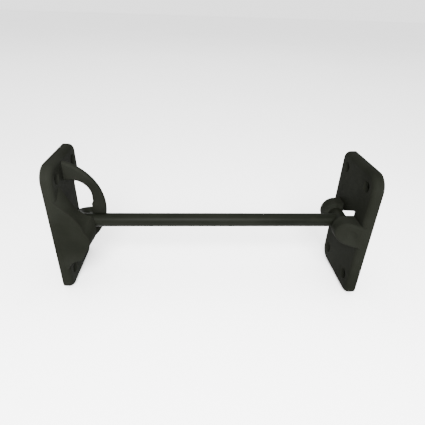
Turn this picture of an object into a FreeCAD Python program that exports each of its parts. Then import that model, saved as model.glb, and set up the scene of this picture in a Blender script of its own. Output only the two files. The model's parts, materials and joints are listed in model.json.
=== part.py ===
import FreeCAD, Part
import math
import os

# Rod-and-hook door holder. A hinge plate screws to the wall and a keeper plate screws to the door.
# A steel rod swings on a pin between the hinge plate's ears and hooks behind the keeper's ring.
# Millimetres. +Z is up. The origin is the centre of the hinge plate's four screw holes, on its
# wall face. The pieces are made with the rod's axis at Y 0 and moved to the origin at the end.
# The rod runs towards -X, and the keeper's wall face is parallel to the hinge plate's.

V = FreeCAD.Vector

# Overall layout
WALL_TO_DOOR = 152.4
KEEPER_Y = 7.8
HINGE_Y = 1.1
AXIS_Z = 1.2

# Both moulded plates
PLATE_WIDTH = 39.1
PLATE_LOW_Z = -34.5
PLATE_HIGH_Z = 33.0
PLATE_DEPTH = 4.8
WIDE_CORNER_R = 7.5
TIGHT_CORNER_R = 4.5
EDGE_R = 2.5
SKIN = 1.8
RIM = 1.7
RIB = 1.4
RIB_Z = 14.5
SCREW_SPACING_Y = 24.0
SCREW_SPACING_Z = 51.2
SCREW_HOLE_R = 1.6
COUNTERSINK_R = 2.9
COUNTERSINK_ANGLE = 82.0
BOSS_R = 4.5

# Pivot between the hinge plate's ears
PIVOT_X = -8.6
EAR_R = 6.2
EAR_GAP = 12.6
FRONT_EAR_ROOT_Y = -18.45
FRONT_EAR_TIP_Y = -11.4
BACK_EAR_ROOT_Y = 15.2
BACK_EAR_TIP_Y = 13.2
EAR_EDGE_R = 1.5
DISH_R = 6.0
DISH_DEPTH = 0.5
DISH_X = -8.0
DISH_Z = 2.0
WINDOW_LOW_Z = -6.4
WINDOW_HIGH_Z = 9.7
WINDOW_FLARE = 3.0
BRACE_HEIGHT = 9.0
BRACE_LOW_Y = 17.5
BRACE_LOW_Z = -2.8
BRACE_HIGH_Y = -5.2
BRACE_HIGH_Z = 9.4
BARREL_CLEARANCE = 0.3
PIN_R = 2.0
PIN_LENGTH = 26.0
PIN_SOCKET = 6.2
PIN_CHAMFER = 0.4
PRESS_CLEARANCE = 0.01
RUNNING_CLEARANCE = 0.07
BARREL_R = 4.1
BARREL_LENGTH = 12.0
BARREL_CHAMFER = 0.4

# Rod with its hook
ROD_R = 3.45
BEND_X = -138.3
BEND_R = 5.65
BEND_TILT = 12.0
NOSE_X = -133.6
NOSE_R = 1.6

# Keeper ring, a flat bow in a plane of constant Y with a round-cornered hole between it and the plate
RING_X = -154.5
RING_Z = 6.5
RING_OUTER_R = 25.0
RING_Y = 5.5
RING_THICKNESS = 3.4
RING_EDGE_R = 1.3
RING_ROOT_REACH = 7.0
RING_ROOT_SPREAD = 6.0
RING_ROOT_RISE = 1.0
RING_ROOT_TURNS = [0, 20, 40, 60, 80]
RING_HOLE_X = -135.8
RING_HOLE_HIGH_Z = 20.8
RING_HOLE_CORNER_R = 8.6
SEAT_X = -136.4
SEAT_LOW_Z = -1.6
SEAT_HIGH_Z = 8.6
SEAT_EDGE_R = 0.6

# Keeper pocket that the hook moves into
POCKET_FLOOR = 1.1
POCKET_WALL = 1.5
POCKET_LOW_Z = -7.6
POCKET_HIGH_Z = 14.5

# Keeper guard, the wedge in front of the rod
GUARD_GAP = 0.35
GUARD_ROOT_X = -149.3
RIDGE_ROUNDING = [(0.0, 0.75), (0.1, 0.4), (0.35, 0.12), (0.75, 0.0)]

# Worked out from the values above
KEEPER_WALL_X = -WALL_TO_DOOR
KEEPER_FACE_X = KEEPER_WALL_X + PLATE_DEPTH
KEEPER_FRONT_Y = KEEPER_Y - PLATE_WIDTH / 2
KEEPER_BACK_Y = KEEPER_Y + PLATE_WIDTH / 2
GUARD_BACK_Y = -ROD_R - GUARD_GAP
POCKET_X = KEEPER_WALL_X + POCKET_FLOOR


def box(low, high):
    """A box between two opposite corners."""
    size = V(*high) - V(*low)
    return Part.makeBox(size.x, size.y, size.z, V(*low))


def x_cylinder(radius, x_start, x_end, y, z):
    return Part.makeCylinder(radius, x_end - x_start, V(x_start, y, z), V(1, 0, 0))


def y_cylinder(radius, y_start, y_end, x, z):
    return Part.makeCylinder(radius, y_end - y_start, V(x, y_start, z), V(0, 1, 0))


def fuse_all(shapes):
    return shapes[0].multiFuse(shapes[1:]).removeSplitter()


def edges_where(shape, test):
    """The edges whose middle point passes the test."""
    return [e for e in shape.Edges if test(e.valueAt((e.FirstParameter + e.LastParameter) / 2))]


def rounded_slab(inset, x_start, x_end):
    """The plate's outline as a slab, drawn in by the inset. Opposite corners share a radius."""
    half = PLATE_WIDTH / 2 - inset
    slab = box((x_start, -half, PLATE_LOW_Z + inset), (x_end, half, PLATE_HIGH_Z - inset))
    for radius, sign in ((WIDE_CORNER_R, -1), (TIGHT_CORNER_R, 1)):
        corners = edges_where(
            slab, lambda p: x_start < p.x < x_end and abs(p.y) > half - 0.01 and sign * p.y * p.z > 0
        )
        slab = slab.makeFillet(radius - inset, corners)
    return slab


def screw_places():
    """Centres of the four screw holes in a plate's own YZ plane."""
    return [
        (side * SCREW_SPACING_Y / 2, level * SCREW_SPACING_Z / 2)
        for side in (-1, 1)
        for level in (-1, 1)
    ]


def plate_shell():
    """The moulded plate with its wall face at X 0 and its front face at +X, hollow at the back."""
    outer = rounded_slab(0, 0, PLATE_DEPTH)
    front_edges = edges_where(outer, lambda p: p.x > PLATE_DEPTH - 0.01)
    outer = outer.makeFillet(EDGE_R, front_edges)
    cavity_depth = PLATE_DEPTH - SKIN
    cavity = rounded_slab(RIM, -1, cavity_depth)
    ribs = [
        box((0, -PLATE_WIDTH / 2 + RIM / 2, level * RIB_Z - RIB / 2),
            (cavity_depth, PLATE_WIDTH / 2 - RIM / 2, level * RIB_Z + RIB / 2))
        for level in (-1, 1)
    ]
    bosses = [x_cylinder(BOSS_R, 0, cavity_depth, y, z) for y, z in screw_places()]
    return fuse_all([outer.cut(cavity)] + ribs + bosses)


def screw_cuts():
    """Four countersunk holes through the plate made by plate_shell."""
    sink_depth = (COUNTERSINK_R - SCREW_HOLE_R) / math.tan(math.radians(COUNTERSINK_ANGLE / 2))
    cuts = []
    for y, z in screw_places():
        cuts.append(x_cylinder(SCREW_HOLE_R, -1, PLATE_DEPTH + 1, y, z))
        start = V(PLATE_DEPTH - sink_depth, y, z)
        cuts.append(Part.makeCone(SCREW_HOLE_R, COUNTERSINK_R, sink_depth, start, V(1, 0, 0)))
    return cuts


def facing_hinge_side(shape):
    """Mirrors a plate-frame shape so that its front faces -X and its wall face stays at X 0."""
    return shape.mirror(V(0, 0, 0), V(1, 0, 0)).translated(V(0, HINGE_Y, 0))


def facing_keeper_side(shape):
    """Moves a plate-frame shape to the keeper's place."""
    moved = shape.copy()
    moved.translate(V(KEEPER_WALL_X, KEEPER_Y, 0))
    return moved


def ear(root_y, tip_y):
    """One ear of the hinge: a round lug whose outer face slopes from its root to its tip."""
    side = math.copysign(1, root_y)
    root_x = SKIN - PLATE_DEPTH
    tip_x = PIVOT_X - EAR_R
    low = V(root_x, 0, AXIS_Z - EAR_R)
    high = V(root_x, 0, AXIS_Z + EAR_R)
    arc_low = V(PIVOT_X, 0, AXIS_Z - EAR_R)
    arc_high = V(PIVOT_X, 0, AXIS_Z + EAR_R)
    outline = Part.Wire([
        Part.makeLine(low, arc_low),
        Part.Arc(arc_low, V(tip_x, 0, AXIS_Z), arc_high).toShape(),
        Part.makeLine(arc_high, high),
        Part.makeLine(high, low),
    ])
    lug = Part.Face(outline).extrude(V(0, side * PLATE_WIDTH / 2, 0))
    plan = [
        V(root_x, side * EAR_GAP / 2, 0),
        V(tip_x - 1, side * EAR_GAP / 2, 0),
        V(tip_x - 1, tip_y, 0),
        V(tip_x, tip_y, 0),
        V(-PLATE_DEPTH, root_y, 0),
        V(root_x, root_y, 0),
    ]
    plan_face = Part.Face(Part.makePolygon(plan + plan[:1]))
    plan_face.translate(V(0, 0, AXIS_Z - 2 * EAR_R))
    solid = lug.common(plan_face.extrude(V(0, 0, 4 * EAR_R)))
    outer_edges = edges_where(
        solid, lambda p: p.x < -PLATE_DEPTH - 0.2 and abs(p.y) > EAR_GAP / 2 + 3
    )
    return solid.makeFillet(EAR_EDGE_R, [e for e in outer_edges if e.Length > 3])


def ear_dish():
    """A shallow round dish in the front ear's sloping face."""
    slope = V(PIVOT_X - EAR_R, FRONT_EAR_TIP_Y, 0) - V(-PLATE_DEPTH, FRONT_EAR_ROOT_Y, 0)
    outward = V(-slope.y, slope.x, 0).normalize()
    share = (DISH_X + PLATE_DEPTH) / slope.x
    point = V(DISH_X, FRONT_EAR_ROOT_Y + share * slope.y, DISH_Z)
    return Part.makeSphere(DISH_R, point + outward * (DISH_R - DISH_DEPTH))


def hinge_window():
    """The opening between the ears, wider at the back of the skin than at the front face."""
    front = EAR_GAP / 2
    back = front + WINDOW_FLARE
    plan = [
        V(-PLATE_DEPTH - 0.1, -front, WINDOW_LOW_Z),
        V(-PLATE_DEPTH - 0.1, front, WINDOW_LOW_Z),
        V(SKIN - PLATE_DEPTH, back, WINDOW_LOW_Z),
        V(SKIN - PLATE_DEPTH, -back, WINDOW_LOW_Z),
    ]
    face = Part.Face(Part.makePolygon(plan + plan[:1]))
    return face.extrude(V(0, 0, WINDOW_HIGH_Z - WINDOW_LOW_Z))


def barrel_room():
    """The space around the barrel, with its clearance."""
    half = BARREL_LENGTH / 2 + BARREL_CLEARANCE
    return y_cylinder(BARREL_R + BARREL_CLEARANCE, -half, half, PIVOT_X, AXIS_Z)


def hinge_brace():
    """A slanting web across the window's top corner. It runs through the hollow back to the rim."""
    corners = [
        V(-PLATE_DEPTH, BRACE_LOW_Y, BRACE_LOW_Z),
        V(-PLATE_DEPTH, BRACE_HIGH_Y, BRACE_HIGH_Z),
        V(-PLATE_DEPTH, BRACE_HIGH_Y, BRACE_HIGH_Z + BRACE_HEIGHT),
        V(-PLATE_DEPTH, BRACE_LOW_Y, BRACE_LOW_Z + BRACE_HEIGHT),
    ]
    face = Part.Face(Part.makePolygon(corners + corners[:1]))
    return face.extrude(V(PLATE_DEPTH, 0, 0)).cut(barrel_room())


def hinge_plate():
    ears = [ear(FRONT_EAR_ROOT_Y, FRONT_EAR_TIP_Y), ear(BACK_EAR_ROOT_Y, BACK_EAR_TIP_Y)]
    body = fuse_all([facing_hinge_side(plate_shell())] + ears)
    cuts = [facing_hinge_side(cut) for cut in screw_cuts()]
    cuts += [hinge_window(), ear_dish()]
    body = body.cut(cuts).fuse(hinge_brace()).removeSplitter()
    socket_start = -EAR_GAP / 2 - PIN_SOCKET
    bore_r = PIN_R + PRESS_CLEARANCE
    return body.cut(y_cylinder(bore_r, socket_start, PLATE_WIDTH, PIVOT_X, AXIS_Z))


def pivot_pin():
    start = -EAR_GAP / 2 - PIN_SOCKET + 0.1
    pin = y_cylinder(PIN_R, start, start + PIN_LENGTH, PIVOT_X, AXIS_Z)
    return pin.makeChamfer(PIN_CHAMFER, [e for e in pin.Edges if len(e.Vertexes) == 1])


def pivot_barrel():
    half = BARREL_LENGTH / 2
    tube = y_cylinder(BARREL_R, -half, half, PIVOT_X, AXIS_Z)
    tube = tube.makeChamfer(BARREL_CHAMFER, [e for e in tube.Edges if len(e.Vertexes) == 1])
    bore_r = PIN_R + RUNNING_CLEARANCE
    return tube.cut(y_cylinder(bore_r, -half - 1, half + 1, PIVOT_X, AXIS_Z))


def hook_rod():
    """Round bar from the barrel to a half-circle bend, with a short leg back behind the ring."""
    start = V(PIVOT_X, 0, AXIS_Z)
    bend_start = V(BEND_X, 0, AXIS_Z)
    tilt = math.radians(BEND_TILT)
    across = V(0, math.cos(tilt), -math.sin(tilt)) * BEND_R
    bend_middle = bend_start + across - V(BEND_R, 0, 0)
    bend_end = bend_start + across * 2
    nose = V(NOSE_X, bend_end.y, bend_end.z)
    path = Part.Wire([
        Part.makeLine(start, bend_start),
        Part.Arc(bend_start, bend_middle, bend_end).toShape(),
        Part.makeLine(bend_end, nose),
    ])
    section = Part.Wire([Part.makeCircle(ROD_R, start, V(1, 0, 0))])
    rod = path.makePipeShell([section], True, True)
    nose_edges = edges_where(rod, lambda p: abs(p.x - NOSE_X) < 0.01)
    rod = rod.makeFillet(NOSE_R, nose_edges)
    return rod.cut(y_cylinder(BARREL_R, -BARREL_LENGTH, BARREL_LENGTH, PIVOT_X, AXIS_Z))


def rounded_outline(x, low, high, radius):
    """A rounded rectangle at one X, between two corners given as (y, z)."""
    blank = box((x, *low), (x + 1, *high))
    blank = blank.makeFillet(radius, edges_where(blank, lambda p: abs(p.x - x - 0.5) < 0.01))
    return [face for face in blank.Faces if abs(face.CenterOfMass.x - x) < 0.01][0].OuterWire


def ring_root_outline(turn, side):
    """The ring's foot at one turn of its flare: 0 degrees is on the plate, 90 is along the ring."""
    out = 1 - math.sin(math.radians(turn))
    x = KEEPER_FACE_X + RING_ROOT_REACH * (1 - math.cos(math.radians(turn)))
    spread = RING_THICKNESS / 2 + RING_ROOT_SPREAD * out
    inner = RING_HOLE_HIGH_Z - RING_Z
    outer = math.sqrt(RING_OUTER_R ** 2 - (x - RING_X) ** 2) + RING_ROOT_RISE * (out - 0.4)
    levels = sorted([RING_Z + side * inner, RING_Z + side * outer])
    low = (RING_Y - spread, levels[0])
    high = (RING_Y + spread, levels[1])
    return rounded_outline(x, low, high, RING_EDGE_R + 2.0 * out)


def ring_root(side):
    """The flared foot of the ring on the plate, at its top (side 1) or bottom (side -1)."""
    outlines = [ring_root_outline(turn, side) for turn in RING_ROOT_TURNS]
    flare = Part.makeLoft(outlines, True, False)
    sunk = Part.Face(outlines[0]).extrude(V(-SKIN / 2, 0, 0))
    return flare.fuse(sunk)


def keeper_ring():
    """The ring that the hook catches, with a thicker seat where the hook bears."""
    start_y = RING_Y - RING_THICKNESS / 2
    end_y = RING_Y + RING_THICKNESS / 2
    root_x = KEEPER_FACE_X - SKIN / 2
    hole_low_z = 2 * RING_Z - RING_HOLE_HIGH_Z
    disc = y_cylinder(RING_OUTER_R, start_y, end_y, RING_X, RING_Z)
    keep = box((root_x, start_y, PLATE_LOW_Z), (0, end_y, PLATE_HIGH_Z))
    hole = box((root_x - 1, start_y - 1, hole_low_z), (RING_HOLE_X, end_y + 1, RING_HOLE_HIGH_Z))
    corners = edges_where(
        hole, lambda p: p.x > RING_HOLE_X - 0.01 and start_y < p.y < end_y
    )
    hole = hole.makeFillet(RING_HOLE_CORNER_R, corners)
    bow = disc.common(keep).cut(hole)
    bow = bow.makeFillet(RING_EDGE_R, edges_where(bow, lambda p: p.x > KEEPER_FACE_X))
    seat = box((SEAT_X, start_y, SEAT_LOW_Z), (RING_HOLE_X + 1.5, end_y, SEAT_HIGH_Z))
    seat = seat.makeFillet(SEAT_EDGE_R, edges_where(seat, lambda p: p.x < SEAT_X + 0.01))
    return fuse_all([bow, seat, ring_root(1), ring_root(-1)])


def guard_curve(y, points):
    """A smooth curve through points of the XZ plane, at one Y."""
    curve = Part.BSplineCurve()
    curve.interpolate([V(x, y, z) for x, z in points])
    return curve.toShape()


def guard_outline(y, top, nose, under):
    """A closed outline of the guard at one Y: top, nose, underside with its root curve, and root."""
    root = [(GUARD_ROOT_X, under[-1][1] - 1.5), top[0]]
    ends = [nose[-1], under[0]], [under[-1], root[0]], root
    lines = [Part.makeLine(V(a[0], y, a[1]), V(b[0], y, b[1])) for a, b in ends]
    curves = [guard_curve(y, points) for points in (top, nose, under)]
    return Part.Wire([curves[0], curves[1], lines[0], curves[2], lines[1], lines[2]])


def moved_in(points, inset):
    """Points of the guard's top or nose, moved in towards its root."""
    return [(x - 0.75 * inset, z - 0.5 * inset) for x, z in points]


def keeper_guard():
    """The wedge in front of the rod. Its top rises from the front ridge to the back, as a ramp."""
    top = [(-149.3, 17.8), (-147.1, 15.2), (-144.4, 12.4), (-140.2, 7.4), (-137.2, 0.5)]
    nose = [(-137.2, 0.5), (-135.2, -5.1), (-136.0, -7.9)]
    under = [(-140.9, -15.9), (-144.6, -16.8), (-147.8, -21.0)]
    outlines = [
        guard_outline(KEEPER_FRONT_Y + depth, moved_in(top, inset), moved_in(nose, inset), under)
        for depth, inset in RIDGE_ROUNDING
    ]
    outlines.append(guard_outline(
        GUARD_BACK_Y,
        [(-148.4, 26.0), (-147.0, 20.4), (-144.2, 14.8), (-140.6, 9.0), (-134.9, 5.2)],
        [(-134.9, 5.2), (-133.5, -1.0), (-134.3, -5.8), (-136.8, -9.6)],
        [(-140.6, -15.4), (-144.4, -16.6), (-147.0, -20.0)],
    ))
    return Part.makeLoft(outlines, True, True)


def keeper_pocket():
    """The recess under the ring, open to the front and to the plate's back edge."""
    return box(
        (POCKET_X, GUARD_BACK_Y, POCKET_LOW_Z), (KEEPER_FACE_X + 1, KEEPER_BACK_Y + 1, POCKET_HIGH_Z)
    )


def keeper_pocket_walls():
    """The block that the pocket is cut from, inside the plate's hollow back."""
    return box(
        (KEEPER_WALL_X, GUARD_BACK_Y - POCKET_WALL, POCKET_LOW_Z - POCKET_WALL),
        (KEEPER_FACE_X - SKIN / 2, KEEPER_BACK_Y - RIM / 2, POCKET_HIGH_Z + POCKET_WALL),
    )


def keeper_plate():
    solid_parts = [facing_keeper_side(plate_shell()), keeper_pocket_walls(), keeper_guard()]
    body = fuse_all(solid_parts)
    cuts = [facing_keeper_side(cut) for cut in screw_cuts()]
    cuts.append(keeper_pocket())
    return body.cut(cuts).fuse(keeper_ring()).removeSplitter()


def one_solid(name, shape):
    """The shape's single valid solid. Stops the build if the shape is anything else."""
    if len(shape.Solids) != 1:
        raise ValueError(f"{name} has {len(shape.Solids)} solids")
    solid = shape.Solids[0]
    if not solid.isValid():
        raise ValueError(f"{name} is not a valid solid")
    return solid


def main():
    os.makedirs("parts", exist_ok=True)
    nodes = {
        "hinge_plate": hinge_plate(),
        "pivot_pin": pivot_pin(),
        "pivot_barrel": pivot_barrel(),
        "hook_rod": hook_rod(),
        "keeper_plate": keeper_plate(),
    }
    for name, shape in nodes.items():
        solid = one_solid(name, shape)
        solid.translate(V(0, -HINGE_Y, 0))
        solid.exportStep(f"parts/{name}.step")
        bounds = solid.BoundBox
        print(f"{name}: {solid.Volume:.0f} mm3, X {bounds.XMin:.2f} to {bounds.XMax:.2f}, "
              f"Y {bounds.YMin:.2f} to {bounds.YMax:.2f}, Z {bounds.ZMin:.2f} to {bounds.ZMax:.2f}")


main()
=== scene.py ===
import bpy
import json
from math import radians
from mathutils import Matrix, Vector


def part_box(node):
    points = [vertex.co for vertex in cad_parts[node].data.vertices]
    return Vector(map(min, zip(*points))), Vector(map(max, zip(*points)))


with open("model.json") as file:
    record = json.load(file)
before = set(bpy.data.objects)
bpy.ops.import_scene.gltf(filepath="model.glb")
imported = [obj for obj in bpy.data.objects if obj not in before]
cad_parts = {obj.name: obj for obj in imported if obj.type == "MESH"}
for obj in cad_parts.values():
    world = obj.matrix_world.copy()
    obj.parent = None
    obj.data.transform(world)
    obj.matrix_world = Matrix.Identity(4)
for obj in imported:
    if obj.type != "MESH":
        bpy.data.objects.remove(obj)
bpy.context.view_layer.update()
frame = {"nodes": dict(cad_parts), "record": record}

# Lengths and places are in metres, angles in degrees and lights in watts.

CAMERA_PLACE = (-0.08488, -0.15607, 0.09436)
CAMERA_TURN = -3.5575
CAMERA_LOOKS_DOWN = 29.7900
CAMERA_ROLL = 1.8596
CAMERA_LENS_MM = 29.777
CAMERA_SENSOR_MM = 36.0
CAMERA_NEAREST = 0.01
CAMERA_FARTHEST = 20.0

# Each light's name, place, aim, diameter and power.
LIGHTS = (
    ("front", (-0.08, -0.36, 0.27), (-0.076, 0.0, 0.0), 0.26, 13.0),
    ("top", (-0.08, 0.30, 1.20), (-0.08, 0.25, 0.0), 1.2, 16.0),
)
BACKDROP_STRENGTH = 2.2

FLOOR_REACH = 12.0
FLOOR_GAP = 0.0002
FLOOR_COLOUR = (0.93, 0.93, 0.93)
FLOOR_CLOUD_SHADE = 0.985
FLOOR_ROUGHNESS = 0.9

# A Mix node's sockets share their names, so its colour sockets go by number.
MIX_COLOUR_A = 6
MIX_COLOUR_B = 7
MIX_COLOUR_RESULT = 2


# ---------------------------------------------------------------- materials

class Paint:
    """A material's node tree. Its calls add nodes and give their output sockets."""

    def __init__(self, name):
        self.material = bpy.data.materials.new(name)
        self.material.use_nodes = True
        self.tree = self.material.node_tree
        self.tree.nodes.clear()
        self.shader = self.node("ShaderNodeBsdfPrincipled")
        surface = self.node("ShaderNodeOutputMaterial").inputs["Surface"]
        self.join(self.shader.outputs["BSDF"], surface)
        self.place = self.node("ShaderNodeTexCoord").outputs["Object"]

    def node(self, kind, **values):
        """A new node, with values fed to the inputs of those names."""
        made = self.tree.nodes.new(kind)
        self.feed_all(made, values)
        return made

    def join(self, source, target):
        self.tree.links.new(source, target)

    def feed(self, target, value):
        """Joins an output socket to an input, or sets the input to a number or vector."""
        if isinstance(value, bpy.types.NodeSocket):
            self.join(value, target)
        else:
            target.default_value = value

    def feed_all(self, node, values):
        """Each value's name is the input's, with _ for a space."""
        for name, value in values.items():
            self.feed(node.inputs[name.replace("_", " ")], value)

    def noise(self, scale, detail, roughness, stretch=None):
        """Noise with a feature size of about 1 / scale, longer along axes where stretch is under 1."""
        place = self.place
        if stretch is not None:
            place = self.node("ShaderNodeMapping", Vector=place, Scale=stretch).outputs["Vector"]
        made = self.node("ShaderNodeTexNoise", Vector=place, Scale=scale, Detail=detail, Roughness=roughness)
        return made.outputs["Fac"]

    def ramp(self, source, low, high, low_value=0.0, high_value=1.0):
        """A value that goes from low_value to high_value as the source goes from low to high."""
        made = self.node("ShaderNodeMapRange", Value=source, From_Min=low, From_Max=high,
                         To_Min=low_value, To_Max=high_value)
        return made.outputs["Result"]

    def edges(self, low, high):
        """0 on flat surfaces and up to 1 on outer edges."""
        return self.ramp(self.node("ShaderNodeNewGeometry").outputs["Pointiness"], low, high)

    def times(self, first, second):
        made = self.node("ShaderNodeMath")
        made.operation = "MULTIPLY"
        self.join(first, made.inputs[0])
        self.join(second, made.inputs[1])
        return made.outputs["Value"]

    def mix(self, factor, first, second):
        """A colour between two others. Each of them is a colour or the result of another mix."""
        made = self.node("ShaderNodeMix", Factor=factor)
        made.data_type = "RGBA"
        for number, colour in ((MIX_COLOUR_A, first), (MIX_COLOUR_B, second)):
            self.feed(made.inputs[number], (*colour, 1.0) if isinstance(colour, tuple) else colour)
        return made.outputs[MIX_COLOUR_RESULT]

    def bump(self, *layers):
        """Bump from several heights. Each layer is a height, its strength and its depth."""
        normal = None
        for height, strength, depth in layers:
            made = self.node("ShaderNodeBump", Height=height, Strength=strength, Distance=depth)
            if normal is not None:
                self.join(normal, made.inputs["Normal"])
            normal = made.outputs["Normal"]
        self.shade(Normal=normal)

    def shade(self, **values):
        """Feeds the shader's own inputs."""
        self.feed_all(self.shader, values)


def moulded_black():
    """Black nylon moulding: satin, with a fine texture, slow colour change and paler edges, partly wear and
    partly a painted highlight along the edges.
    """
    dark = (0.0036, 0.0039, 0.0029)
    pale = (0.0058, 0.0062, 0.0049)
    # Paler colour for edges: wear, and also a painted highlight along rounded edges and ridges.
    pale_edge_colour = (0.012, 0.013, 0.0105)
    p = Paint("moulded_black")
    grain = p.noise(scale=2600.0, detail=3.0, roughness=0.6)
    flow = p.noise(scale=38.0, detail=4.0, roughness=0.55)
    marks = p.noise(scale=260.0, detail=6.0, roughness=0.7)
    unworn = p.mix(p.ramp(flow, 0.35, 0.65), dark, pale)
    # Edge mask broken up by the marks noise: partly wear, partly a painted highlight where light catches the
    # edges.
    wear_and_sheen = p.times(p.edges(0.57, 0.70), p.ramp(marks, 0.4, 0.65, 0.25, 1.0))
    p.shade(Base_Color=p.mix(wear_and_sheen, unworn, pale_edge_colour), Specular_IOR_Level=0.002,
            Roughness=p.ramp(marks, 0.3, 0.7, 0.44, 0.56))
    p.bump((flow, 0.08, 0.0004), (grain, 0.10, 0.00006))
    return p.material


def rod_black():
    """Powder-coated steel rod: smoother than the mouldings, with a slight orange peel."""
    dark = (0.0020, 0.0023, 0.0015)
    pale = (0.0036, 0.0040, 0.0028)
    # Paler colour for worn edges.
    pale_edge_colour = (0.014, 0.015, 0.011)
    p = Paint("rod_black")
    peel = p.noise(scale=900.0, detail=2.0, roughness=0.5)
    along = p.noise(scale=140.0, detail=5.0, roughness=0.65, stretch=(0.25, 1.0, 1.0))
    unworn = p.mix(p.ramp(along, 0.35, 0.65), dark, pale)
    p.shade(Base_Color=p.mix(p.edges(0.66, 0.85), unworn, pale_edge_colour), Specular_IOR_Level=0.018,
            Roughness=p.ramp(along, 0.3, 0.7, 0.36, 0.47))
    p.bump((peel, 0.12, 0.00008))
    return p.material


def pin_steel():
    """Plain drawn steel."""
    clean = (0.40, 0.40, 0.39)
    dull = (0.24, 0.23, 0.21)
    p = Paint("pin_steel")
    drawn = p.noise(scale=420.0, detail=5.0, roughness=0.6, stretch=(1.0, 0.06, 1.0))
    spots = p.noise(scale=180.0, detail=4.0, roughness=0.6)
    p.shade(Base_Color=p.mix(p.ramp(spots, 0.4, 0.7), clean, dull), Metallic=1.0,
            Roughness=p.ramp(drawn, 0.3, 0.7, 0.28, 0.44))
    p.bump((drawn, 0.1, 0.00004))
    return p.material


def floor_white():
    """Matt white with faint clouds."""
    p = Paint("floor_white")
    cloud = p.ramp(p.noise(scale=3.0, detail=2.0, roughness=0.5), 0.4, 0.6)
    shaded = tuple(FLOOR_CLOUD_SHADE * c for c in FLOOR_COLOUR)
    p.shade(Base_Color=p.mix(cloud, FLOOR_COLOUR, shaded), Roughness=FLOOR_ROUGHNESS)
    return p.material


def paint_nodes():
    """Gives each CAD node the material of its slot in the record."""
    made = {"moulded_black": moulded_black(), "rod_black": rod_black(), "pin_steel": pin_steel()}
    for subpart in frame["record"]["subparts"]:
        obj = frame["nodes"][subpart["node"]]
        slot = subpart["material_slot"]
        obj.data.materials.clear()
        obj.data.materials.append(made[slot])


# ---------------------------------------------------------------- stage

def add_object(name, data):
    obj = bpy.data.objects.new(name, data)
    bpy.context.scene.collection.objects.link(obj)
    return obj


def floor(height):
    """One large square, so that its far edge lies close to the horizon."""
    mesh = bpy.data.meshes.new("floor")
    r = FLOOR_REACH
    corners = [(-r, -r, height), (r, -r, height), (r, r, height), (-r, r, height)]
    mesh.from_pydata(corners, [], [(0, 1, 2, 3)])
    mesh.materials.append(floor_white())
    obj = add_object("floor", mesh)


def area_light(name, place, aim, diameter, power):
    data = bpy.data.lights.new(name, "AREA")
    data.shape = "DISK"
    data.size = diameter
    data.energy = power
    obj = add_object(name, data)
    obj.location = place
    obj.rotation_euler = (Vector(aim) - Vector(place)).to_track_quat("-Z", "Y").to_euler()


def backdrop():
    """An even white light from all round, which is also what shows above the floor."""
    made = bpy.data.worlds.new("studio")
    made.use_nodes = True
    background = made.node_tree.nodes["Background"]
    background.inputs["Color"].default_value = (1.0, 1.0, 1.0, 1.0)
    background.inputs["Strength"].default_value = BACKDROP_STRENGTH
    bpy.context.scene.world = made


def camera():
    """Stands in front of the object. With no turn, it looks along +Y."""
    data = bpy.data.cameras.new("camera")
    data.sensor_width = CAMERA_SENSOR_MM
    data.lens = CAMERA_LENS_MM
    data.clip_start = CAMERA_NEAREST
    data.clip_end = CAMERA_FARTHEST
    turn = Matrix.Rotation(radians(CAMERA_TURN), 4, "Z")
    tilt = Matrix.Rotation(radians(90.0 - CAMERA_LOOKS_DOWN), 4, "X")
    roll = Matrix.Rotation(radians(CAMERA_ROLL), 4, "Z")
    obj = add_object("camera", data)
    obj.matrix_world = Matrix.Translation(CAMERA_PLACE) @ turn @ tilt @ roll
    bpy.context.scene.camera = obj


# ---------------------------------------------------------------- build

paint_nodes()

lowest_corner, highest_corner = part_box("hinge_plate")
floor(lowest_corner.z - FLOOR_GAP)
for light in LIGHTS:
    area_light(*light)
backdrop()
camera()
